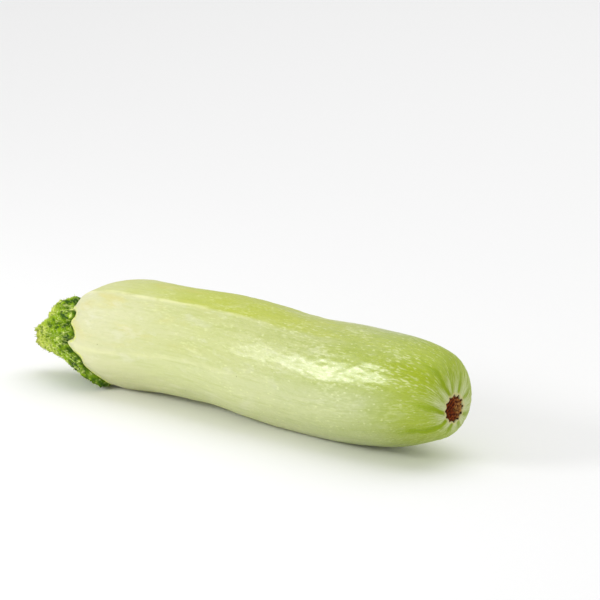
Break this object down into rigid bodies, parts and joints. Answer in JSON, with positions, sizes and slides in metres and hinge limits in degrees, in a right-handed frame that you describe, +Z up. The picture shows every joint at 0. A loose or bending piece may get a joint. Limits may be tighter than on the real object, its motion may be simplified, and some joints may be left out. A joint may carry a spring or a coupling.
{
  "type": "zucchini",
  "caption": "Pale green zucchini lying on its side, softly ribbed and slightly curved, with a corky blossom scar and a cut, flared stem.",
  "frame": {"origin": "on the surface it lies on, under the middle of the whole", "axes": "+X along the fruit from the stem to the blossom end, +Z up"},
  "size_m": [0.2314, 0.0484, 0.0479],
  "materials": {
    "fruit_skin": "waxy satin vegetable skin, pale green with fine cream flecks, and a brown corky scar at the blossom end",
    "stem": "rough green stalk with a pale net, short bristles and a dry cut end"
  },
  "bodies": {
    "root": {"fruit": "fruit_skin", "stem": "stem"}
  },
  "joints": []
}
